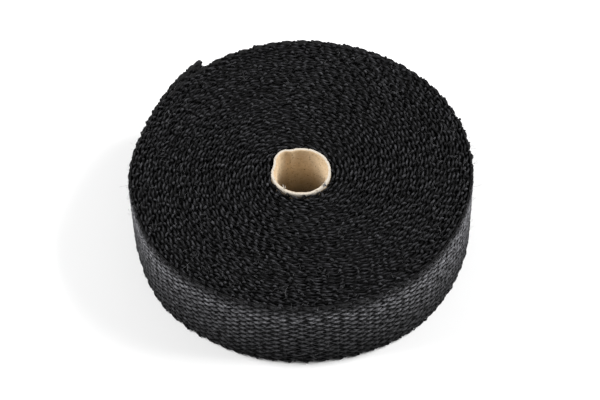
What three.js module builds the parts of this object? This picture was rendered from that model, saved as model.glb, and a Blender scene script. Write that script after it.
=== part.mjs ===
// A roll of black woven glass-fibre heat wrap for exhaust pipes, wound on a cardboard core.
// Millimetres, +Z up. The roll lies on its end: the origin is at the middle of the roll, at floor level.
import * as THREE from "three";

// The woven tape
const TAPE_WIDTH = 50;
const TAPE_THICKNESS = 1.99; // the pitch of the turns, as pressed together by the winding
const TURNS = 37.5;
const SELVEDGE_RISE = 1; // how far the rounded edge of a turn stands out of the grooves beside it

// The inner end of the tape: each turn climbs over the one below it there
const CLIMB_TURNS = 6; // after this many turns, the winding is an even spiral

// The free end of the tape, which lifts off the turn below it
const FREE_END_ANGLE = THREE.MathUtils.degToRad(126);
const FREE_END_LIFT = 3;
const LIFTED_FACETS = 2; // the length that has come up, in facets of the turn

// The cardboard core, with a crease that pushes its wall out along its whole length
const CORE_RADIUS = 16;
const CORE_WALL = 2.1;
const CORE_PROUD = 1; // how far the core stands out of the tape's upper edge
const CREASE_RISE = 2;
const CREASE_ANGLE = THREE.MathUtils.degToRad(133.5);
const CREASE_CREST = THREE.MathUtils.degToRad(16); // half of the crest's arc
const CREASE_FLANK = THREE.MathUtils.degToRad(9); // the arc of each flank
const CREASE_BRIDGE = THREE.MathUtils.degToRad(9); // the tape leaves the core this far before a flank

const WINDING_CLEARANCE = 0.3; // between the core and the first turn

// The core sits off the middle of the roll, because one side is wound tighter than the other
const CORE_CENTRE = new THREE.Vector2(0.5, -2.65);
const OUTER_CENTRE = new THREE.Vector2(0.5, 0.55); // what the outermost turn runs round

// Facets round a full circle
const TURN_FACETS = 36;
const CORE_FACETS = 90;

const FULL_CIRCLE = 2 * Math.PI;

const blackGlassFibre = new THREE.MeshStandardMaterial({
  color: 0x1c1c1d,
  roughness: 0.9,
  metalness: 0,
});
const creamCardboard = new THREE.MeshStandardMaterial({
  color: 0xd9c4a0,
  roughness: 0.95,
  metalness: 0,
});

// How far the crease stands out at an angle, with its crest widened on both sides.
function creaseAt(angle, widening) {
  const turned = angle - CREASE_ANGLE;
  const away = Math.abs(Math.atan2(Math.sin(turned), Math.cos(turned)));
  const crest = CREASE_CREST + widening;
  return CREASE_RISE * (1 - THREE.MathUtils.smoothstep(away, crest, crest + CREASE_FLANK));
}

// The outline of the core, moved inwards by inset.
function coreOutline(inset) {
  return Array.from({ length: CORE_FACETS }, (_, facet) => {
    const angle = (FULL_CIRCLE * facet) / CORE_FACETS;
    const radius = CORE_RADIUS + creaseAt(angle, 0) - inset;
    return new THREE.Vector2(radius * Math.cos(angle), radius * Math.sin(angle));
  });
}

function cardboardCore() {
  const section = new THREE.Shape(coreOutline(0));
  section.holes.push(new THREE.Path(coreOutline(CORE_WALL)));
  const tube = new THREE.ExtrudeGeometry(section, {
    depth: TAPE_WIDTH + CORE_PROUD,
    bevelEnabled: false,
  });
  const core = new THREE.Mesh(tube, creamCardboard);
  core.position.set(CORE_CENTRE.x, CORE_CENTRE.y, 0);
  return core;
}

// The winding runs clockwise and outwards, from turn 0 on the core to the free end at turn TURNS.
function angleOfTurn(turn) {
  return FREE_END_ANGLE + FULL_CIRCLE * (TURNS - turn);
}

// How far the tape has come up at a turn, which is only near its free end.
function liftAt(turn) {
  return FREE_END_LIFT * THREE.MathUtils.smoothstep(turn, TURNS - LIFTED_FACETS / TURN_FACETS, TURNS);
}

// The radius where a turn's inner face lies on the outer face of the turn before.
// Near the core it keeps to circles that step up over the tape's inner end, and farther out it is a spiral.
function seamRadius(turn) {
  const unsettled = 1 - THREE.MathUtils.smoothstep(turn, 1, CLIMB_TURNS);
  const layers = turn - unsettled * (turn % 1);
  const bulge = creaseAt(angleOfTurn(turn), CREASE_BRIDGE) * unsettled;
  const coreFit = (CORE_RADIUS + WINDING_CLEARANCE) / Math.cos(Math.PI / TURN_FACETS);
  return coreFit + bulge + TAPE_THICKNESS * layers;
}

// A point on the seam below a turn, which has come up from it by lift.
function seamPoint(turn, lift) {
  const drift = THREE.MathUtils.clamp((turn - 1) / TURNS, 0, 1);
  const angle = angleOfTurn(turn);
  const outward = new THREE.Vector2(Math.cos(angle), Math.sin(angle));
  return CORE_CENTRE.clone()
    .lerp(OUTER_CENTRE, drift)
    .addScaledVector(outward, seamRadius(turn) + lift);
}

// The whole winding is one solid with a bore. On both ends each turn shows as a ridge between
// two grooves, and the tape's inner end is a step in the bore. Its free end stands off the turn below.
function heatWrap() {
  const stepCount = Math.round(TURNS * TURN_FACETS);
  const liftStart = stepCount - LIFTED_FACETS;
  const positions = [];
  const triangles = [];

  // Adds a point on the lower edge of the tape and one above it, and returns the lower one's index.
  function edgePair(point, inset) {
    positions.push(point.x, point.y, inset, point.x, point.y, TAPE_WIDTH - inset);
    return positions.length / 3 - 2;
  }

  // The corners run anticlockwise as seen from outside.
  function quad(a, b, c, d) {
    triangles.push(a, b, c, a, c, d);
  }

  // The inner and the outer face of the tape at a step
  const innerPoint = (step) => seamPoint(step / TURN_FACETS, liftAt(step / TURN_FACETS));
  const outerPoint = (step) => seamPoint(step / TURN_FACETS + 1, liftAt(step / TURN_FACETS));

  // The grooves hold a turn's inner face, but not where that has come up from the turn below
  const grooves = Array.from({ length: stepCount + TURN_FACETS + 1 }, (_, step) => {
    const covered = step <= stepCount;
    const point = covered ? seamPoint(step / TURN_FACETS, 0) : outerPoint(step - TURN_FACETS);
    return edgePair(point, SELVEDGE_RISE);
  });
  const inner = Array.from({ length: stepCount + 1 }, (_, step) =>
    step <= liftStart ? grooves[step] : edgePair(innerPoint(step), SELVEDGE_RISE),
  );
  const ridges = Array.from({ length: stepCount + 1 }, (_, step) =>
    edgePair(innerPoint(step).lerp(outerPoint(step), 0.5), 0),
  );

  // One facet of the slopes between two neighbouring lines, on the lower and the upper end.
  function slopes(near, nearNext, far, farNext) {
    quad(near, far, farNext, nearNext);
    quad(near + 1, nearNext + 1, farNext + 1, far + 1);
  }
  for (let step = 0; step < stepCount; step++) {
    const over = step + TURN_FACETS;
    slopes(inner[step], inner[step + 1], ridges[step], ridges[step + 1]);
    slopes(ridges[step], ridges[step + 1], grooves[over], grooves[over + 1]);
  }

  // One facet of the tape's inner face, where that is bare, and one of its outer face.
  function innerFace(line, step) {
    quad(line[step], line[step + 1], line[step + 1] + 1, line[step] + 1);
  }
  function outerFace(step) {
    quad(grooves[step], grooves[step] + 1, grooves[step + 1] + 1, grooves[step + 1]);
  }
  for (let step = 0; step < TURN_FACETS; step++) {
    innerFace(grooves, step);
  }
  for (let step = liftStart; step < stepCount; step++) {
    innerFace(inner, step);
  }
  for (let step = liftStart; step < stepCount + TURN_FACETS; step++) {
    outerFace(step);
  }

  // The cut face across the tape at one of its ends, from one groove over the ridge to the other.
  function cutFace(from, ridge, to) {
    quad(from, from + 1, ridge + 1, ridge);
    quad(ridge, ridge + 1, to + 1, to);
  }
  cutFace(grooves[0], ridges[0], grooves[TURN_FACETS]);
  cutFace(grooves[stepCount + TURN_FACETS], ridges[stepCount], inner[stepCount]);

  const coil = new THREE.BufferGeometry();
  coil.setAttribute("position", new THREE.Float32BufferAttribute(positions, 3));
  coil.setIndex(triangles);
  coil.computeVertexNormals();
  return new THREE.Mesh(coil, blackGlassFibre);
}

const pieces = { heat_wrap_roll: heatWrap(), cardboard_core: cardboardCore() };
const roll = new THREE.Group();
for (const [name, piece] of Object.entries(pieces)) {
  piece.name = name;
  roll.add(piece);
}

export default roll;
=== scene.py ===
# A roll of black woven glass-fibre heat wrap on its cardboard core, lying on its end.
# Every yarn that shows is modelled: the plain weave of the outer turn, and on both ends
# the edge of every turn with the weft looping round it.
import math

import bpy
import numpy as np
from mathutils import Matrix, Vector


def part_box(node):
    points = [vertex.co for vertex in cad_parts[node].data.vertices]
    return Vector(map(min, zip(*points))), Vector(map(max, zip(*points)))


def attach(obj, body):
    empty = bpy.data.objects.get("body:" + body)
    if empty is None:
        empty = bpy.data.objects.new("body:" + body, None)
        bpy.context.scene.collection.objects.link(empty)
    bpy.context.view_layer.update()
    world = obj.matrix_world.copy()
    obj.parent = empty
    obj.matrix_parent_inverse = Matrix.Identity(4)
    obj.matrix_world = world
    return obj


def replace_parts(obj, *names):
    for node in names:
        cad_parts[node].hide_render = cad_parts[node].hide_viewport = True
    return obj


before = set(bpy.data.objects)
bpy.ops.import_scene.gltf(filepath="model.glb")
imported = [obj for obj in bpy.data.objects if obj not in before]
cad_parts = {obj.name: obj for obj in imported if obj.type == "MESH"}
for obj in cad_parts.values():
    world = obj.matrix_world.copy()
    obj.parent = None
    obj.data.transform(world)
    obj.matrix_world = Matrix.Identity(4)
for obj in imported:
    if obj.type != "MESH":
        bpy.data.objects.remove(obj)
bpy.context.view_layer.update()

roll_low, roll_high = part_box("heat_wrap_roll")
_, core_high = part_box("cardboard_core")

MM = 0.001
FULL_CIRCLE = 2 * math.pi
rng = np.random.default_rng(7)

# The winding, as in the part's source
TAPE_WIDTH = roll_high.z - roll_low.z
CORE_TOP = core_high.z
TAPE_THICKNESS = 1.99 * MM
TURNS = 37.5
CLIMB_TURNS = 6
FREE_END_ANGLE = math.radians(126)
FREE_END_LIFT = 3 * MM
LIFTED_TURN = 2 / 36  # the share of a turn that has come up off the one below
CORE_RADIUS = 16 * MM
CREASE_RISE = 2 * MM
CREASE_ANGLE = math.radians(133.5)
CREASE_CREST = math.radians(16)
CREASE_FLANK = math.radians(9)
CREASE_BRIDGE = math.radians(9)
WINDING_CLEARANCE = 0.3 * MM
CORE_CENTRE = np.array((0.5, -2.65)) * MM
OUTER_CENTRE = np.array((0.5, 0.55)) * MM  # what the outermost turn runs round

# Where the roll is pressed flat or bulges a little: the middle's angle, the width and the size
OUT_OF_ROUND = (
    (math.radians(160), math.radians(15), -2.7 * MM),
    (math.radians(45), math.radians(45), 1.4 * MM),
    (math.radians(94), math.radians(6), 0.6 * MM),
    (math.radians(196), math.radians(7), -0.6 * MM),
    (math.radians(218), math.radians(12), 0.9 * MM),
    (math.radians(306), math.radians(20), 1.8 * MM),
)

# The weave: 26 warp yarns along the tape, and a weft yarn that snakes across it
WARP_COUNT = 26
PICK = 4.22 * MM  # from one crossing of the weft to the next
WARP_SWING = 0.5 * MM  # how far a warp yarn swings to either face of the tape
WEFT_SWING = 0.18 * MM
COVERED_TURN = 0.05  # the weave of the outer turn runs on under the lifted free end


# Shapes along the winding


def smooth(value, low, high):
    share = np.clip((value - low) / (high - low), 0, 1)
    return share * share * (3 - 2 * share)


def angle_of(turn):
    return FREE_END_ANGLE + FULL_CIRCLE * (TURNS - turn)


def crease_at(angle, widening):
    turned = angle - CREASE_ANGLE
    away = np.abs(np.arctan2(np.sin(turned), np.cos(turned)))
    crest = CREASE_CREST + widening
    return CREASE_RISE * (1 - smooth(away, crest, crest + CREASE_FLANK))


def lift_at(turn):
    return FREE_END_LIFT * smooth(turn, TURNS - LIFTED_TURN, TURNS)


def seam_radius(turn):
    """Where the inner face of a turn lies on the turn before, without the lift of the free end."""
    unsettled = 1 - smooth(turn, 1, CLIMB_TURNS)
    layers = turn - unsettled * (turn % 1)
    bulge = crease_at(angle_of(turn), CREASE_BRIDGE) * unsettled
    return CORE_RADIUS + WINDING_CLEARANCE + bulge + TAPE_THICKNESS * layers


def middle_radius(turn):
    return (seam_radius(turn) + seam_radius(turn + 1)) / 2 + lift_at(turn)


def angle_from(angle, other):
    return np.arctan2(np.sin(angle - other), np.cos(angle - other))


def wound(turn, angle, radius, height):
    """Points round a turn, which runs round the core's axis at first and then drifts off it."""
    drift = np.clip((turn - 0.5) / TURNS, 0, 1)
    x, y = (start + drift * (end - start) for start, end in zip(CORE_CENTRE, OUTER_CENTRE))
    for place, width, size in OUT_OF_ROUND:
        radius = radius + size * drift**3 * np.exp(-((angle_from(angle, place) / width) ** 2))
    x = x + radius * np.cos(angle)
    y = y + radius * np.sin(angle)
    return np.stack(np.broadcast_arrays(x, y, height), -1)


# Length along the middle of the tape, against the turn number
TURN_TABLE = np.linspace(0, TURNS, 9001)
RADIUS_TABLE = middle_radius(TURN_TABLE)
LENGTH_TABLE = np.concatenate(
    [[0], np.cumsum((RADIUS_TABLE[1:] + RADIUS_TABLE[:-1]) / 2 * FULL_CIRCLE * np.diff(TURN_TABLE))]
)
TAPE_LENGTH = LENGTH_TABLE[-1]
OUTER_TURN_START = np.interp(TURNS - 1 - COVERED_TURN, TURN_TABLE, LENGTH_TABLE)


def on_tape(length, outward, height):
    """Points at a length along the tape, a distance outwards from its middle and a height."""
    turn = np.interp(length, LENGTH_TABLE, TURN_TABLE)
    past_end = np.maximum(length - TAPE_LENGTH, 0)
    radius = np.interp(length, LENGTH_TABLE, RADIUS_TABLE)
    return wound(turn, angle_of(turn) - past_end / radius, radius + outward, height)


def wander(length, size, spacing, seed):
    """A slow random drift of about size, which changes over spacing along the tape."""
    steps = np.random.default_rng(seed).normal(0, size, int(TAPE_LENGTH / spacing) + 4)
    return np.interp(length, np.arange(len(steps)) * spacing, steps)


# Where the picks of the weft lie, which drift a little from an even spacing
LENGTHS = np.linspace(0, TAPE_LENGTH + 10 * MM, 20001)
PICKS = (LENGTHS + wander(LENGTHS, 0.9 * MM, 50 * MM, 13)) / PICK


def pick_at(length):
    return np.interp(length, LENGTHS, PICKS)


def length_at(pick):
    return np.interp(pick, PICKS, LENGTHS)


# Meshes


def mesh_piece(name, points, faces, material, yarn_map=None, raised=None):
    """Makes a piece. raised says of each yarn's rings how far they stand out, from 0 to 1."""
    mesh = bpy.data.meshes.new(name)
    mesh.from_pydata(points.reshape(-1, 3), [], faces)
    mesh.polygons.foreach_set("use_smooth", np.ones(len(mesh.polygons), bool))
    if yarn_map is not None:
        layer = mesh.uv_layers.new(name="yarn")
        layer.uv.foreach_set("vector", yarn_map.astype(np.float32).ravel())
    # raised drives a painted highlight in the yarn materials: the further a ring stands out, the lighter
    # its grey
    if raised is not None:
        sides = len(mesh.vertices) // raised.size
        values = np.repeat(raised.ravel(), sides)
        mesh.attributes.new("raised", "FLOAT", "POINT").data.foreach_set("value", values)
    mesh.materials.append(material)
    mesh.update()
    piece = bpy.data.objects.new(name, mesh)
    bpy.context.scene.collection.objects.link(piece)
    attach(piece, "root")
    return piece


def yarn_tubes(path, across, half_wide, half_thick, sides, squareness=1.0):
    """Closed tubes along many paths at once.

    path is yarns x rings x 3. across is the direction of each section's width.
    Returns the points, the faces and each face corner's place on the yarn in metres: round it, along it.
    """
    yarns, rings, _ = path.shape
    ahead = np.gradient(path, axis=1)
    ahead /= np.linalg.norm(ahead, axis=-1, keepdims=True)
    across = np.broadcast_to(across, path.shape)
    across = across - ahead * np.sum(across * ahead, -1, keepdims=True)
    across /= np.linalg.norm(across, axis=-1, keepdims=True)
    through = np.cross(ahead, across)
    round_angle = FULL_CIRCLE * (np.arange(sides) + 0.5) / sides
    cos, sin = np.cos(round_angle), np.sin(round_angle)
    wide = np.sign(cos) * np.abs(cos) ** squareness
    thick = np.sign(sin) * np.abs(sin) ** squareness
    half_wide = np.broadcast_to(half_wide, (yarns, rings))[..., None, None]
    half_thick = np.broadcast_to(half_thick, (yarns, rings))[..., None, None]
    points = (
        path[:, :, None]
        + across[:, :, None] * wide[:, None] * half_wide
        + through[:, :, None] * thick[:, None] * half_thick
    )
    index = np.arange(yarns * rings * sides).reshape(yarns, rings, sides)
    here, following = index[:, :-1], index[:, 1:]
    quads = np.stack(
        [here, np.roll(here, -1, 2), np.roll(following, -1, 2), following], -1
    ).reshape(-1, 4)
    faces = quads.tolist()
    faces += index[:, 0, ::-1].tolist()
    faces += index[:, -1].tolist()

    along = np.concatenate(
        [np.zeros((yarns, 1)), np.cumsum(np.linalg.norm(np.diff(path, axis=1), axis=-1), 1)], 1
    )
    along = along + 0.01 * np.arange(yarns)[:, None]
    girth = FULL_CIRCLE * (half_wide[..., 0, 0] + half_thick[..., 0, 0]) / 2
    side = np.arange(sides)
    low, high = along[:, :-1, None], along[:, 1:, None]
    corner_round = np.stack(np.broadcast_arrays(side, side + 1, side + 1, side), -1) / sides
    corner_round = corner_round * girth.mean()
    corner_along = np.stack(np.broadcast_arrays(low, low, high, high), -1)
    corner_along = np.broadcast_to(corner_along, (yarns, rings - 1, sides, 4))
    quad_map = np.stack([np.broadcast_to(corner_round, corner_along.shape), corner_along], -1)
    cap_map = np.zeros((2 * yarns * sides, 2))
    return points, faces, np.concatenate([quad_map.reshape(-1, 2), cap_map])


# Materials


def linear(code):
    """A colour from its sRGB hex code, as linear values with alpha."""
    channels = [int(code[at : at + 2], 16) / 255 for at in (1, 3, 5)]
    return [c / 12.92 if c <= 0.04045 else ((c + 0.055) / 1.055) ** 2.4 for c in channels] + [1]


def add(tree, kind, links=None, stops=(), **settings):
    """Adds a node, sets its properties and sockets, and links its inputs to other nodes' outputs.

    stops are the (place, sRGB code) pairs of a colour ramp.
    """
    node = tree.nodes.new(kind)
    for name, value in settings.items():
        if hasattr(node, name):
            setattr(node, name, value)
        else:
            node.inputs[name.replace("_", " ")].default_value = value
    if stops:
        points = node.color_ramp.elements
        while len(points) < len(stops):
            points.new(1)
        for point, (place, code) in zip(points, stops):
            point.position = place
            point.color = linear(code)
    for socket, source in (links or {}).items():
        tree.links.new(source, node.inputs[socket])
    return node


def new_material(name):
    material = bpy.data.materials.new(name)
    material.use_nodes = True
    tree = material.node_tree
    tree.nodes.clear()
    return material, tree


def texturised_black_glass_yarn(name, stops, crown_highlight_code, painted_shading_by_height):
    """Bulked E-glass filaments, loosely twisted and dyed black: matt in the mass, with grey glints.

    The grey code is painted on the raised crowns as a highlight, broken up by the filaments.
    The height ramp gives how strong that painted highlight is, from the lower edge of the tape, 0, to the
    upper one, 1: painted light and shade by height.
    """
    material, tree = new_material(name)
    filament = 0.3 * MM  # drawn thirty times as coarse as a real filament, so that it shows
    streak = 2.4 * MM
    crown = 1.7 * MM

    yarn_place = add(tree, "ShaderNodeUVMap", uv_map="yarn")
    twisted = add(
        tree,
        "ShaderNodeMapping",
        {"Vector": yarn_place.outputs["UV"]},
        Rotation=(0, 0, math.radians(14)),
        Scale=(1 / filament, 1 / streak, 1),
    )
    filaments = add(
        tree,
        "ShaderNodeTexNoise",
        {"Vector": twisted.outputs["Vector"]},
        noise_dimensions="2D",
        Scale=1,
        Detail=2,
        Roughness=0.6,
    )
    place = add(tree, "ShaderNodeTexCoord")
    crowns = add(
        tree,
        "ShaderNodeTexNoise",
        {"Vector": place.outputs["Object"]},
        Scale=1 / crown,
        Detail=3,
        Roughness=0.65,
    )
    mixed = add(
        tree,
        "ShaderNodeMath",
        {0: filaments.outputs["Fac"], 1: crowns.outputs["Fac"]},
        operation="MULTIPLY",
    )
    colour = add(tree, "ShaderNodeValToRGB", {"Fac": mixed.outputs["Value"]}, stops)
    spot = add(tree, "ShaderNodeSeparateXYZ", {"Vector": place.outputs["Object"]})
    level = add(
        tree,
        "ShaderNodeMapRange",
        {"Value": spot.outputs["Z"]},
        From_Min=0,
        From_Max=TAPE_WIDTH,
    )
    # Painted light and shade by height: how strong the crown highlight is, from the tape's lower edge to
    # its upper one
    highlight_by_height = add(tree, "ShaderNodeValToRGB", {"Fac": level.outputs["Result"]}, painted_shading_by_height)
    highlight_among_fibres = add(
        tree,
        "ShaderNodeMapRange",
        {"Value": mixed.outputs["Value"]},
        From_Min=0.14,
        From_Max=0.36,
        To_Min=0,
        To_Max=1,
    )
    raised = add(tree, "ShaderNodeAttribute", attribute_name="raised")
    highlight_on_crowns = add(
        tree,
        "ShaderNodeMath",
        {0: raised.outputs["Fac"], 1: highlight_among_fibres.outputs["Result"]},
        operation="MULTIPLY",
    )
    # Painted highlight: its strength, by height and by how far the crown stands out
    rubbed = add(
        tree,
        "ShaderNodeMath",
        {0: highlight_by_height.outputs["Color"], 1: highlight_on_crowns.outputs["Value"]},
        operation="MULTIPLY",
    )
    # Mixes the painted highlight grey into the yarn's colour
    highlighted_colour = add(
        tree,
        "ShaderNodeMix",
        {"Factor": rubbed.outputs["Value"], "A": colour.outputs["Color"]},
        data_type="RGBA",
        B=linear(crown_highlight_code),
    )
    roughness = add(
        tree,
        "ShaderNodeMapRange",
        {"Value": filaments.outputs["Fac"]},
        From_Min=0.3,
        From_Max=0.7,
        To_Min=0.8,
        To_Max=0.6,
    )
    relief = add(
        tree,
        "ShaderNodeBump",
        {"Height": filaments.outputs["Fac"]},
        Strength=0.8,
        Distance=0.2 * MM,
    )
    finish = add(
        tree,
        "ShaderNodeBsdfPrincipled",
        {
            "Base Color": highlighted_colour.outputs["Result"],
            "Roughness": roughness.outputs["Result"],
            "Normal": relief.outputs["Normal"],
        },
        IOR=1.5,
        Specular_IOR_Level=0.09,
    )
    add(tree, "ShaderNodeOutputMaterial", {"Surface": finish.outputs["BSDF"]})
    return material


def broken_glass_filaments():
    """Single filaments that have come out of the yarns, where the dye has rubbed off."""
    material, tree = new_material("broken_glass_filaments")
    place = add(tree, "ShaderNodeTexCoord")
    patches = add(
        tree,
        "ShaderNodeTexNoise",
        {"Vector": place.outputs["Object"]},
        Scale=1 / (6 * MM),
        Detail=1,
    )
    colour = add(
        tree,
        "ShaderNodeValToRGB",
        {"Fac": patches.outputs["Fac"]},
        [(0.35, "#141416"), (0.65, "#6b6b6d")],
    )
    finish = add(
        tree,
        "ShaderNodeBsdfPrincipled",
        {"Base Color": colour.outputs["Color"]},
        Roughness=0.4,
        IOR=1.5,
    )
    add(tree, "ShaderNodeOutputMaterial", {"Surface": finish.outputs["BSDF"]})
    return material


def matted_black_glass():
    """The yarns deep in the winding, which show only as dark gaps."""
    material, tree = new_material("matted_black_glass")
    lump = 1.2 * MM
    place = add(tree, "ShaderNodeTexCoord")
    lumps = add(
        tree,
        "ShaderNodeTexNoise",
        {"Vector": place.outputs["Object"]},
        Scale=1 / lump,
        Detail=4,
    )
    colour = add(
        tree,
        "ShaderNodeValToRGB",
        {"Fac": lumps.outputs["Fac"]},
        [(0.3, "#020202"), (0.7, "#0a0a0b")],
    )
    relief = add(
        tree,
        "ShaderNodeBump",
        {"Height": lumps.outputs["Fac"]},
        Strength=0.8,
        Distance=0.5 * MM,
    )
    finish = add(
        tree,
        "ShaderNodeBsdfPrincipled",
        {"Base Color": colour.outputs["Color"], "Normal": relief.outputs["Normal"]},
        Roughness=0.95,
        IOR=1.5,
    )
    add(tree, "ShaderNodeOutputMaterial", {"Surface": finish.outputs["BSDF"]})
    return material


def kraft_board(name, stops, speck_code, fibre, painted_shading_by_height):
    """Spirally wound kraft board: flat paper fibres with darker specks of bark.

    The height ramp gives the painted shade that the colour is multiplied by, from the core's foot, 0, to
    its rim, 1.
    """
    material, tree = new_material(name)
    speck = 1.25 * MM
    place = add(tree, "ShaderNodeTexCoord")
    mottling = add(
        tree,
        "ShaderNodeTexNoise",
        {"Vector": place.outputs["Object"]},
        Scale=1 / fibre,
        Detail=4,
        Roughness=0.65,
    )
    spot = add(tree, "ShaderNodeSeparateXYZ", {"Vector": place.outputs["Object"]})
    level = add(
        tree,
        "ShaderNodeMapRange",
        {"Value": spot.outputs["Z"]},
        From_Min=0,
        From_Max=CORE_TOP,
    )
    fibres = add(tree, "ShaderNodeValToRGB", {"Fac": mottling.outputs["Fac"]}, stops)
    # Painted shade by height
    tone = add(tree, "ShaderNodeValToRGB", {"Fac": level.outputs["Result"]}, painted_shading_by_height)
    toned = add(
        tree,
        "ShaderNodeMix",
        {"A": fibres.outputs["Color"], "B": tone.outputs["Color"]},
        data_type="RGBA",
        blend_type="MULTIPLY",
        Factor=1,
    )
    specks = add(
        tree,
        "ShaderNodeTexVoronoi",
        {"Vector": place.outputs["Object"]},
        Scale=1 / speck,
        Randomness=1,
    )
    chosen = add(
        tree,
        "ShaderNodeTexNoise",
        {"Vector": place.outputs["Object"]},
        Scale=0.5 / speck,
        Detail=1,
    )
    in_speck = add(
        tree,
        "ShaderNodeMapRange",
        {"Value": specks.outputs["Distance"]},
        From_Min=0.22,
        From_Max=0.34,
        To_Min=0.8,
        To_Max=0,
    )
    here = add(
        tree,
        "ShaderNodeMapRange",
        {"Value": chosen.outputs["Fac"]},
        From_Min=0.49,
        From_Max=0.58,
    )
    share = add(
        tree,
        "ShaderNodeMath",
        {0: in_speck.outputs["Result"], 1: here.outputs["Result"]},
        operation="MULTIPLY",
    )
    colour = add(
        tree,
        "ShaderNodeMix",
        {"Factor": share.outputs["Value"], "A": toned.outputs["Result"]},
        data_type="RGBA",
        B=linear(speck_code),
    )
    relief = add(
        tree,
        "ShaderNodeBump",
        {"Height": mottling.outputs["Fac"]},
        Strength=0.5,
        Distance=0.1 * MM,
    )
    finish = add(
        tree,
        "ShaderNodeBsdfPrincipled",
        {"Base Color": colour.outputs["Result"], "Normal": relief.outputs["Normal"]},
        Roughness=0.9,
        IOR=1.5,
    )
    add(tree, "ShaderNodeOutputMaterial", {"Surface": finish.outputs["BSDF"]})
    return material


def matt_white_board():
    """The floor: white board with a matt face."""
    material, tree = new_material("matt_white_board")
    finish = add(
        tree,
        "ShaderNodeBsdfPrincipled",
        Base_Color=linear("#f4f4f4"),
        Roughness=0.9,
        IOR=1.5,
    )
    add(tree, "ShaderNodeOutputMaterial", {"Surface": finish.outputs["BSDF"]})
    return material


# On the ends, the grey is a painted highlight on the tops of the loops and the bulges of the edge warps;
# its height ramp is even.
END_YARN = texturised_black_glass_yarn(
    "black_glass_yarn_of_the_ends",
    [(0.16, "#010101"), (0.24, "#030303"), (0.31, "#080809"), (0.4, "#141416")],
    "#49494c",
    [(0, "#ffffff"), (1, "#ffffff")],
)
# On the face, the light grey is a painted highlight on the raised crowns. The height ramp is painted
# light and shade: the highlight is strongest at four-fifths of the height and fades to painted shade
# towards the foot and at the upper edge.
FACE_YARN = texturised_black_glass_yarn(
    "black_glass_yarn_of_the_face",
    [(0.16, "#020202"), (0.24, "#060607"), (0.31, "#111112"), (0.4, "#262628")],
    "#8d8d91",
    [(0, "#202020"), (0.65, "#c8c8c8"), (0.8, "#ffffff"), (0.97, "#585858")],
)
DEEP = matted_black_glass()
LOOSE = broken_glass_filaments()
CUT_EDGE = kraft_board(
    "torn_edge_of_kraft_board",
    [(0.25, "#a69c8c"), (0.5, "#b8afa2"), (0.75, "#c6bfb4")],
    "#7f705a",
    0.5 * MM,
    [(0, "#ffffff"), (1, "#ffffff")],
)
# The height ramp is painted shade: the board is darker towards the foot of the tube and a little darker
# close to the cut rim.
BOARD = kraft_board(
    "wound_kraft_board",
    [(0.25, "#cbb391"), (0.5, "#dcc8a9"), (0.75, "#ead9bf")],
    "#5a4230",
    1.1 * MM,
    [(0.2, "#909090"), (0.5, "#d8d8d8"), (0.72, "#ffffff"), (0.94, "#e6e0d8"), (1, "#d8d0c6")],
)


# The wound tape

EDGE_HEIGHT = 1.5 * MM  # of the outermost warp yarn's middle over the tape's edge
WARP_PITCH = (TAPE_WIDTH - 2 * EDGE_HEIGHT) / (WARP_COUNT - 1)
FRAYED = 7 * MM  # the length over which the cut end opens up
LOOP_RISE = 1.7 * MM  # from the foot of a weft's loop to its top
LOOP_ROOT = 2.4 * MM  # how far below the tape's edge a loop starts
PACKED_DEPTH = 3.4 * MM  # how far inside the tape's edges the packed winding ends


def tape_drift(length):
    """The tape is wound a little high or low, turn by turn."""
    return wander(length, 0.24 * MM, 38 * MM, 11) + wander(length, 0.12 * MM, 8 * MM, 12)


def beside_core(length):
    """1 on the first turns, beside the core, and 0 farther out."""
    return 1 - smooth(length, 90 * MM, 115 * MM)


def edge_level(length, upper):
    """How far the tape's edge lies above its place. The lower edge stands on the floor."""
    drift = tape_drift(length)
    return drift + 0.5 * MM * beside_core(length) if upper else np.abs(drift)


def level_across(length, share):
    """The same between the tape's edges: share runs from the lower one, 0, to the upper one, 1."""
    return share * edge_level(length, True) + (1 - share) * edge_level(length, False)


def warp_phase(length, number):
    """Which way a warp yarn swings: outwards at even multiples of pi, a little ahead or behind."""
    return math.pi * (pick_at(length) + number + wander(length, 0.16, 22 * MM, 400 + number))


def swing_share(length, number):
    """A warp yarn's swing, 1 at the outer face and -1 at the inner one. It stays longer at the outer."""
    return 1 - 2 * ((1 - np.cos(warp_phase(length, number))) / 2) ** 1.6


def warp_path(number, length, rough=0.06 * MM):
    """The middle of a warp yarn, counted from the tape's lower edge."""
    opened = smooth(length, TAPE_LENGTH - FRAYED, TAPE_LENGTH)
    swing = WARP_SWING * swing_share(length, number) * (1 + opened)
    swing = swing + wander(length, rough, 6 * MM, 100 + number)
    height = EDGE_HEIGHT + number * WARP_PITCH + wander(length, rough, 5 * MM, 200 + number)
    level = level_across(length, number / (WARP_COUNT - 1))
    return on_tape(length, swing, height + level)


def on_crown(length, number):
    """Whether a warp yarn is on a crown, 1, or between its crowns, 0."""
    return np.abs(np.cos(warp_phase(length, number)))


def out_of_the_tape(length, number):
    """How far a warp yarn stands out of the outer face: 1 on a crown, 0 where it dips behind a weft."""
    return np.clip(swing_share(length, number), 0, 1) ** 0.8


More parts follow.
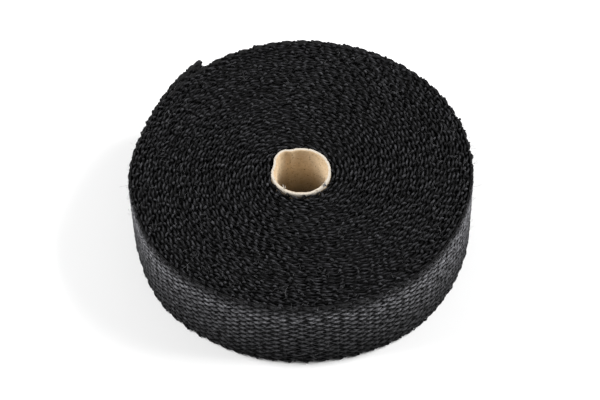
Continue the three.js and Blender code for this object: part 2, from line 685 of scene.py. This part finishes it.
def outer_warps():
    rings = int((TAPE_LENGTH - OUTER_TURN_START) / (PICK / 4))
    paths, wide, thick, raised = [], [], [], []
    for number in range(WARP_COUNT):
        cut = TAPE_LENGTH + rng.uniform(1.4, 2.4) * MM
        length = np.linspace(OUTER_TURN_START, cut, rings)
        crown = on_crown(length, number)
        fat = 1 + wander(length, 0.11, 4.5 * MM, 300 + number)
        opened = smooth(length, TAPE_LENGTH - FRAYED, TAPE_LENGTH)
        paths.append(warp_path(number, length))
        wide.append((0.54 + 0.3 * crown) * fat)
        thick.append((0.36 + 0.12 * crown) * fat * (1 + opened))
        # Painted highlight on the warp crowns, where they stand out of the face
        raised.append(out_of_the_tape(length, number))
    points, faces, yarn_map = yarn_tubes(
        np.array(paths), (0, 0, 1), np.array(wide) * MM, np.array(thick) * MM, 6, 0.9
    )
    return mesh_piece(
        "outer_turn_warp", points, faces, FACE_YARN, yarn_map, np.array(raised)
    )


def outer_wefts():
    picks = np.arange(math.ceil(pick_at(OUTER_TURN_START)), pick_at(TAPE_LENGTH) - 0.2)
    steps = np.linspace(-0.3, WARP_COUNT - 0.7, 2 * WARP_COUNT + 1)
    pick, step = np.meshgrid(picks, steps, indexing="ij")
    swing = -WEFT_SWING * np.cos(math.pi * (pick + step))
    lean = rng.normal(0, 0.16 * MM, pick.shape) + rng.normal(0, 0.25 * MM, (len(picks), 1))
    length = length_at(pick) + lean
    level = level_across(length, step / (WARP_COUNT - 1))
    path = on_tape(length, swing, EDGE_HEIGHT + step * WARP_PITCH + level)
    angle = np.arctan2(path[..., 1], path[..., 0])
    across = np.stack([-np.sin(angle), np.cos(angle), 0 * angle], -1)
    fat = 1 + rng.normal(0, 0.08, pick.shape)
    points, faces, yarn_map = yarn_tubes(path, across, 0.72 * MM * fat, 0.42 * MM * fat, 6, 0.9)
    # Painted highlight where the weft swings to the outer face
    raised = 0.2 * np.clip(swing / WEFT_SWING, 0, 1)
    return mesh_piece("outer_turn_weft", points, faces, FACE_YARN, yarn_map, raised)


def edge_row(name, number, sides, half_high, step):
    """One warp yarn near an edge of the tape, along every turn that the outer one covers.

    It bulges out of the edge halfway between the weft's loops, and is tucked in below them.
    """
    rings = int(OUTER_TURN_START / step)
    length = np.linspace(1.5 * MM, OUTER_TURN_START, rings)
    upper = number > WARP_COUNT / 2
    outwards = 1 if upper else -1
    bulge = -outwards * np.cos(math.pi * (pick_at(length) - 0.5))
    fat = 1 + wander(length, 0.13, 4 * MM, 300 + number)
    line = warp_path(number, length, 0.18 * MM)
    line[:, 2] = np.maximum(line[:, 2] + outwards * 0.32 * MM * bulge, 0.6 * MM)
    points, faces, yarn_map = yarn_tubes(
        line[None],
        (0, 0, 1),
        (half_high * (0.85 + 0.15 * bulge) * fat)[None],
        ((0.42 + 0.08 * bulge) * MM * fat)[None],
        sides,
    )
    # Painted highlight where the edge warp bulges out of the edge
    raised = np.clip(bulge, 0, 1)[None] * (0.6 + wander(length, 0.25, 7 * MM, 500 + number))
    return mesh_piece(name, points, faces, END_YARN, yarn_map, raised)


def edge_loops(name, upper, sides):
    """The weft's turns round the tape's edge: out of one face, over the edge and into the other."""
    first = np.arange(0 if upper else 1, pick_at(TAPE_LENGTH) - 1, 2)[:, None]
    loops = len(first)
    half_turn = np.linspace(0, math.pi, 9)
    cos, sin = np.cos(half_turn), np.sin(half_turn)
    rise = LOOP_RISE + rng.normal(0, 0.24 * MM, (loops, 1))
    reach = rng.normal(0.25, 0.4, (loops, 1)) * MM
    span = rng.uniform(0.3, 0.6, (loops, 1))
    length = length_at(first + 0.5 - 0.5 * cos * span) + rng.normal(0, 0.3 * MM, (loops, 1))
    length = np.clip(length, 0, TAPE_LENGTH - 0.5 * MM)
    outermost = smooth(length, OUTER_TURN_START, OUTER_TURN_START + 20 * MM)
    innermost = beside_core(length)
    lean = rng.normal(0.05, 0.2, (loops, 1)) + 0.15 * outermost - 0.55 * innermost
    outward = reach * np.sign(cos) * np.abs(cos) ** 0.7 + rng.normal(0, 0.1 * MM, (loops, half_turn.size))
    outward = outward + lean * sin * MM
    above = rise * sin - LOOP_ROOT
    if upper:
        height = TAPE_WIDTH + above + edge_level(length, upper)
    else:
        height = np.maximum(edge_level(length, upper) - above, 0.42 * MM)
    path = on_tape(length, outward, height)
    fat = (1.05 + rng.normal(0, 0.16, (loops, 1))) * (0.8 + 0.3 * sin)
    points, faces, yarn_map = yarn_tubes(
        path, (0.02, 0.01, 1), 0.4 * MM * fat, 0.5 * MM * fat, sides
    )
    # Painted highlight on the tops of the loops
    raised = np.broadcast_to(sin**2, fat.shape) * rng.uniform(0.2, 1, (loops, 1))
    return mesh_piece(name, points, faces, END_YARN, yarn_map, raised)


def ring_faces(steps, corners):
    """The faces of a closed bar whose cross-section has so many corners, with a cut at both ends."""
    faces = []
    for step in range(steps - 1):
        for corner in range(corners):
            this, other = corners * step + corner, corners * step + (corner + 1) % corners
            faces.append([this, other, other + corners, this + corners])
    last = corners * (steps - 1)
    faces.append(list(range(corners))[::-1])
    faces.append(list(range(last, last + corners)))
    return faces


def packed_body():
    """What lies under the modelled yarns: one closed dark ring with a step at its outside."""
    steps = 240
    turn = np.linspace(TURNS - 1 - COVERED_TURN, TURNS - COVERED_TURN, steps)
    angle = angle_of(turn)
    outer = seam_radius(turn) + 0.2 * MM
    bore = CORE_RADIUS + WINDING_CLEARANCE + crease_at(angle, CREASE_BRIDGE)
    low, high = PACKED_DEPTH, TAPE_WIDTH - PACKED_DEPTH
    rings = [
        wound(centred_on, angle, radius, height)
        for centred_on, radius, height in (
            (0, bore, low),
            (0, bore, high),
            (turn, outer, high),
            (turn, outer, low),
        )
    ]
    points = np.stack(rings, 1)
    return mesh_piece("packed_winding", points, ring_faces(steps, 4), DEEP)


def outer_lining():
    """The fuzz that fills the weave of the outer turn from behind, and clots its cut end."""
    steps = 300
    length = np.linspace(OUTER_TURN_START, TAPE_LENGTH + 2.2 * MM, steps)
    opened = smooth(length, TAPE_LENGTH - 0.8 * FRAYED, TAPE_LENGTH + 1 * MM)
    half = (0.1 + 1.15 * opened) * MM
    behind = -0.45 * MM * (1 - opened)
    low = 0.9 * MM + edge_level(length, False)
    high = TAPE_WIDTH - 0.85 * MM + edge_level(length, True)
    rings = [
        on_tape(length, outward, height)
        for outward, height in (
            (behind - half, low),
            (behind - half, high),
            (behind + half, high),
            (behind + half, low),
        )
    ]
    points = np.stack(rings, 1)
    return mesh_piece("outer_turn_lining", points, ring_faces(steps, 4), DEEP)


def strands(name, starts, directions, lengths, radius, material, curl, rings=6, sides=3):
    """Fine loose strands, each from its start along its direction, curling at random."""
    count = len(starts)
    along = np.linspace(0, 1, rings)[None, :, None]
    bend = rng.normal(0, curl, (count, 1, 3))
    swirl = rng.normal(0, curl / 2, (count, 1, 3))
    reach = lengths[:, None, None]
    path = starts[:, None] + reach * (
        directions[:, None] * along + bend * along**2 + swirl * along**3
    )
    path[..., 2] = np.maximum(path[..., 2], radius)
    points, faces, _ = yarn_tubes(path, (0.3, 0.2, 1), radius, radius, sides)
    return mesh_piece(name, points, faces, material)


def unit(vectors):
    return vectors / np.linalg.norm(vectors, axis=-1, keepdims=True)


def stray_filaments():
    """Filaments that stand off the upper end, the outer face and both edges of it."""
    counts = {"top": 420, "face": 320, "rim": 130}
    top_length = np.sqrt(rng.uniform(0.02, 1, counts["top"])) * TAPE_LENGTH
    face_length = rng.uniform(OUTER_TURN_START, TAPE_LENGTH, counts["face"])
    rim_length = rng.uniform(OUTER_TURN_START, TAPE_LENGTH, counts["rim"])
    starts = np.concatenate(
        [
            on_tape(top_length, rng.uniform(-0.8, 0.8, counts["top"]) * MM, TAPE_WIDTH - 0.5 * MM),
            on_tape(face_length, 0.8 * MM, rng.uniform(0.04, 0.98, counts["face"]) * TAPE_WIDTH),
            on_tape(rim_length, 0.6 * MM, TAPE_WIDTH - 0.6 * MM),
        ]
    )
    plan = unit(starts * (1, 1, 0))
    sideways = np.stack([-plan[:, 1], plan[:, 0], 0 * plan[:, 0]], -1)
    wild = rng.normal(0, 1, starts.shape)
    on_top = np.arange(len(starts)) < counts["top"]
    flat = wild * (1, 1, 0) + (0, 0, 0.15)
    off_face = sideways * wild[:, :1] + plan * np.abs(wild[:, 1:2]) * 0.35 + (0, 0, 0.25)
    directions = unit(np.where(on_top[:, None], flat, off_face))
    lengths = rng.uniform(1.5, 4.5, len(starts)) * MM
    return strands(
        "stray_filaments", starts, directions, lengths, 0.04 * MM, LOOSE, curl=0.25
    )


def cut_end():
    """The cut ends of the warp yarns, opened into short tufts."""
    each = 12
    number = np.repeat(np.arange(WARP_COUNT), each)
    count = len(number)
    starts = np.concatenate(
        [warp_path(n, np.array([TAPE_LENGTH + 1.6 * MM])) for n in number]
    )
    plan = unit(starts * (1, 1, 0))
    onward = np.stack([plan[:, 1], -plan[:, 0], 0 * plan[:, 0]], -1)
    starts = starts + plan * rng.normal(0, 0.8 * MM, (count, 1)) + (0, 0, 1) * rng.normal(
        0, 0.3 * MM, (count, 1)
    )
    directions = unit(
        onward + plan * rng.normal(0, 0.45, (count, 1)) + (0, 0, 1) * rng.normal(0, 0.4, (count, 1))
    )
    lengths = rng.uniform(0.5, 1.2, count) * MM
    return strands(
        "cut_end_tufts", starts, directions, lengths, 0.26 * MM, END_YARN, curl=0.3, sides=4
    )


tape_pieces = [
    outer_warps(),
    outer_wefts(),
    edge_row("upper_edge_warp", WARP_COUNT - 1, 6, 0.62 * MM, PICK / 4),
    edge_row("upper_inner_warp", WARP_COUNT - 2, 4, 0.75 * MM, PICK / 3),
    edge_row("lower_edge_warp", 0, 5, 0.62 * MM, PICK / 3),
    edge_loops("upper_edge_loops", True, 6),
    edge_loops("lower_edge_loops", False, 5),
    packed_body(),
    outer_lining(),
    stray_filaments(),
    cut_end(),
]
for piece in tape_pieces:
    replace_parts(piece, "heat_wrap_roll")


# The cardboard core

RIM_ROUNDING = 0.45 * MM
RIM_WALL = 1.8 * MM  # the wall is pressed thinner where it was cut

# The crease's outline: angle in degrees and how far the wall is pushed out there, in mm
CREASE_LINE = (
    (100, 0),
    (108, -0.1),
    (112, 0.1),
    (118, 1.2),
    (123, 1.7),
    (128, 1.85),
    (133, 1.8),
    (138, 1.5),
    (146, 1.0),
    (152, 0.3),
    (159, -0.5),
    (168, -0.6),
    (176, -0.2),
    (184, 0),
)


def core_section(angle):
    """Radius, height and finish round the wall's section at an angle: outside, rim, inside, foot."""
    ragged = ragged_rim(angle)
    places, pushed_out = np.array(CREASE_LINE).T
    outer = CORE_RADIUS + MM * np.interp(np.degrees(angle), places, pushed_out)
    inner = outer - RIM_WALL
    top = CORE_TOP - 0.5 * MM + ragged
    nib = 0.3 * ragged
    return [
        (outer, 0.2 * MM, 0),
        (outer, 0.3 * CORE_TOP, 0),
        (outer, 0.7 * CORE_TOP, 0),
        (outer, 0.95 * CORE_TOP, 1),
        (outer + nib, top - RIM_ROUNDING, 1),
        (outer - 0.3 * RIM_ROUNDING + nib, top - 0.3 * RIM_ROUNDING, 1),
        (outer - RIM_ROUNDING, top, 1),
        (outer - 0.6 * RIM_WALL, top + 0.5 * nib, 1),
        (inner + RIM_ROUNDING, top - 0.1 * MM, 1),
        (inner + 0.3 * RIM_ROUNDING - nib, top - 0.4 * MM, 0),
        (inner - nib, top - 2 * RIM_ROUNDING, 0),
        (inner, 0.95 * CORE_TOP, 0),
        (inner, 0.7 * CORE_TOP, 0),
        (inner, 0.3 * CORE_TOP, 0),
        (inner, 0.2 * MM, 0),
        (inner + 0.2 * MM, 0, 1),
        (outer - 0.2 * MM, 0, 1),
    ]


def ragged_rim(angle):
    """The cut edge is torn: a random height of about 0.2 mm, smooth over a millimetre."""
    waves = np.random.default_rng(31)
    rough = np.zeros_like(angle)
    for count in (2, 3, 5, 9, 14, 23, 37, 52):
        size = 0.16 * MM / count**0.45
        rough += size * np.sin(count * angle + waves.uniform(0, FULL_CIRCLE))
    return rough


def cardboard_tube():
    steps = 360
    angle = np.arange(steps) * FULL_CIRCLE / steps
    section = core_section(angle)
    corners = len(section)
    x, y = CORE_CENTRE
    rings = [
        np.stack(
            np.broadcast_arrays(x + radius * np.cos(angle), y + radius * np.sin(angle), height), -1
        )
        for radius, height, _ in section
    ]
    points = np.stack(rings, 1)
    faces, finishes = [], []
    for step in range(steps):
        following = (step + 1) % steps
        for corner in range(corners):
            other = (corner + 1) % corners
            faces.append(
                [
                    corners * step + corner,
                    corners * step + other,
                    corners * following + other,
                    corners * following + corner,
                ]
            )
            finishes.append(section[corner][2] and section[other][2])
    tube = mesh_piece("creased_cardboard_tube", points, faces, BOARD)
    tube.data.materials.append(CUT_EDGE)
    tube.data.polygons.foreach_set("material_index", np.array(finishes, np.int32))
    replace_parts(tube, "cardboard_core")


def wisps(name, angle, radius, height, aim, count, length, thick, material):
    """A few wisps that start together beside the core's rim and point the same way."""
    x, y = CORE_CENTRE
    start = np.array((x + radius * math.cos(angle), y + radius * math.sin(angle), height))
    starts = start + rng.normal(0, 0.35 * MM, (count, 3)) * (1, 1, 0.4)
    directions = unit(np.array(aim) + rng.normal(0, 0.3, (count, 3)))
    lengths = length * rng.uniform(0.6, 1.1, count)
    return strands(name, starts, directions, lengths, thick, material, curl=0.2, sides=4)


cardboard_tube()

# Fuzz of the tape over the rim, at the front right
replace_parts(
    wisps(
        "yarn_fuzz_over_rim",
        math.radians(321),
        16.6 * MM,
        CORE_TOP - 0.7 * MM,
        (-0.5, 0.5, 0.6),
        26,
        2.0 * MM,
        0.05 * MM,
        LOOSE,
    ),
    "heat_wrap_roll",
)

# Paper fibres that stand up from the rim, at the front left
torn_fibres = wisps(
    "torn_paper_fibres",
    math.radians(232),
    14.6 * MM,
    CORE_TOP - 0.6 * MM,
    (0.1, 0.5, 0.9),
    4,
    2.6 * MM,
    0.14 * MM,
    CUT_EDGE,
)
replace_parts(torn_fibres, "cardboard_core")


# The camera, fitted to the photograph

CAMERA_DISTANCE = 1117 * MM
CAMERA_ELEVATION = math.radians(52.19)
CAMERA_ROLL = 0.0282
CAMERA_TARGET = Vector((-0.39, -2.34, 25)) * MM
SENSOR = 36
PHOTO_WIDTH = 600  # in pixels
FOCAL_LENGTH = 2064  # in the same pixels
LENS = SENSOR * FOCAL_LENGTH / PHOTO_WIDTH

camera = bpy.data.objects.new("camera", bpy.data.cameras.new("camera"))
camera.data.sensor_width = SENSOR
camera.data.lens = LENS
camera.data.clip_end = 50
away = Vector((0, -math.cos(CAMERA_ELEVATION), math.sin(CAMERA_ELEVATION)))
camera.matrix_world = (
    Matrix.Translation(CAMERA_TARGET + away * CAMERA_DISTANCE)
    @ away.to_track_quat("Z", "Y").to_matrix().to_4x4()
    @ Matrix.Rotation(-CAMERA_ROLL, 4, "Z")
)
bpy.context.scene.collection.objects.link(camera)
bpy.context.scene.camera = camera


# Floor and light

REACH = 6  # of the floor, to each side in metres
floor_mesh = bpy.data.meshes.new("floor")
floor_mesh.from_pydata(
    [(-REACH, -REACH, 0), (REACH, -REACH, 0), (REACH, REACH, 0), (-REACH, REACH, 0)],
    [],
    [(0, 1, 2, 3)],
)
floor_mesh.materials.append(matt_white_board())
floor = bpy.data.objects.new("floor", floor_mesh)
bpy.context.scene.collection.objects.link(floor)


def softbox(name, place, aim, size, power):
    light = bpy.data.lights.new(name, "AREA")
    light.shape = "RECTANGLE"
    light.size, light.size_y = size
    light.energy = power
    lamp = bpy.data.objects.new(name, light)
    lamp.location = place
    lamp.rotation_euler = (Vector(aim) - Vector(place)).to_track_quat("-Z", "Y").to_euler()
    bpy.context.scene.collection.objects.link(lamp)


softbox("left_softbox", (-1.4, 0.15, 1.05), (0, 0, 0), (1.0, 1.0), 40)
softbox("right_softbox", (1.4, 0.15, 1.05), (0, 0, 0), (1.0, 1.0), 47)

# The studio is bright round the sides and dark overhead
world = bpy.data.worlds.new("studio")
world.use_nodes = True
studio = world.node_tree
background = studio.nodes["Background"]
direction = add(studio, "ShaderNodeTexCoord")
spot = add(studio, "ShaderNodeSeparateXYZ", {"Vector": direction.outputs["Generated"]})
brightness = add(
    studio,
    "ShaderNodeMapRange",
    {"Value": spot.outputs["Z"]},
    From_Min=0.05,
    From_Max=0.6,
    To_Min=1,
    To_Max=0.14,
)
studio.links.new(brightness.outputs["Result"], background.inputs["Strength"])
background.inputs["Color"].default_value = linear("#ffffff")
bpy.context.scene.world = world
bpy.context.scene.view_settings.view_transform = "Standard"
